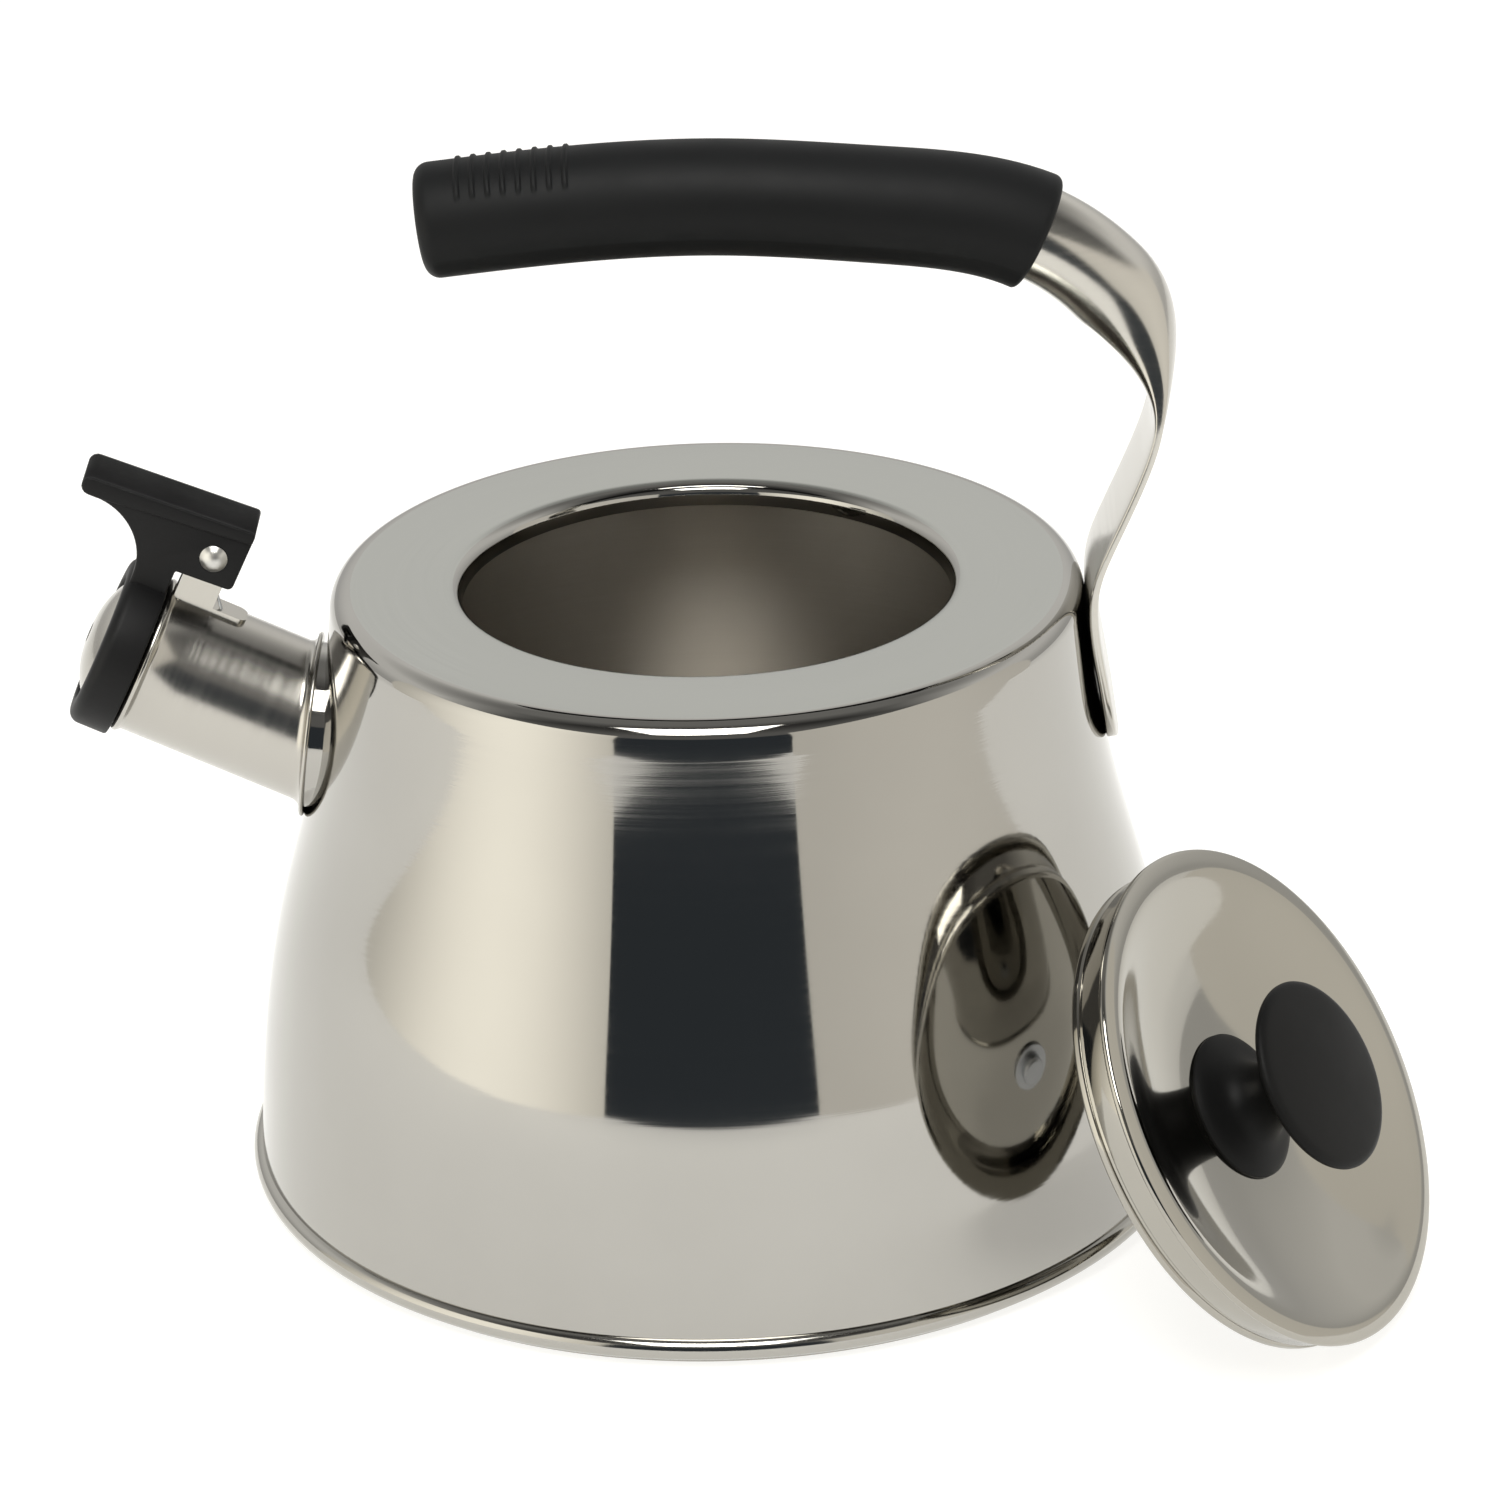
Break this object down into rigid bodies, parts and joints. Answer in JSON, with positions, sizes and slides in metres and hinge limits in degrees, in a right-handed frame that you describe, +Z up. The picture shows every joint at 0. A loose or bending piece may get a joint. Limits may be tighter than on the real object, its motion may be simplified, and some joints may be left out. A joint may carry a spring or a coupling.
{
  "type": "stovetop whistling kettle",
  "caption": "Polished steel kettle with an open mouth, a short spout shut by a sprung whistle cap with a thumb lever, a bent handle with a soft grip, and its lid set down beside it.",
  "frame": {"origin": "on the counter, under the centre of the kettle's base", "axes": "+Z up; the spout points to -X and the root of the handle is on the +X side; the lid leans at +X, -Y"},
  "size_m": [0.279, 0.2227, 0.2237],
  "materials": {
    "polished_steel": "stainless steel: wall polished to a mirror, top ring satin, inside brushed round",
    "base_steel": "stainless steel, bright rolled rim",
    "spreader": "plain, sealed in the base",
    "spout_steel": "stainless tube, lightly brushed round",
    "hinge_steel": "stainless sheet, bright",
    "rivet_steel": "domed rivet head, satin",
    "spring_steel": "spring wire, dull",
    "handle_steel": "stainless tube, satin on the bend and bright on the flat",
    "plug_plastic": "plain, sealed in the grip",
    "grip_rubber": "soft-touch moulding, smooth and matt",
    "lever_plastic": "heat-resistant nylon, fine spark texture",
    "disc_steel": "pressed sheet, satin",
    "lid_steel": "stainless steel, polished to a mirror",
    "knob_plastic": "phenolic, satin",
    "brass": "turned, moulded into the knob",
    "screw_steel": "zinc-plated steel"
  },
  "bodies": {
    "kettle": {"body_shell": "polished_steel", "base_pan": "base_steel", "heat_spreader": "spreader", "base_cover": "base_steel", "spout_tube": "spout_steel", "hinge_bracket": "hinge_steel", "hinge_rivet": "rivet_steel", "lever_spring": "spring_steel", "handle_tube": "handle_steel", "tube_plug": "plug_plastic", "handle_grip": "grip_rubber"},
    "whistle": {"whistle_lever": "lever_plastic", "whistle_front_disc": "disc_steel", "whistle_back_disc": "disc_steel", "whistle_keeper": "disc_steel"},
    "lid": {"lid_pan": "lid_steel", "lid_skirt": "lid_steel", "lid_knob": "knob_plastic", "knob_insert": "brass", "knob_screw": "screw_steel", "knob_washer": "screw_steel"}
  },
  "joints": [
    {"name": "whistle_hinge", "type": "hinge", "parent": "kettle", "child": "whistle", "pos_m": [-0.10049, 0, 0.13807], "axis": [0, 1, 0], "range_deg": [0, 60], "stiffness_Nm_per_rad": 0.02, "springref_deg": -34.38, "deforming": ["lever_spring"]},
    {"name": "lid_lift", "type": "slide", "parent": "kettle", "child": "lid", "axis": [0.7515, -0.3829, 0.5373], "range_m": [0, 0.1]}
  ]
}
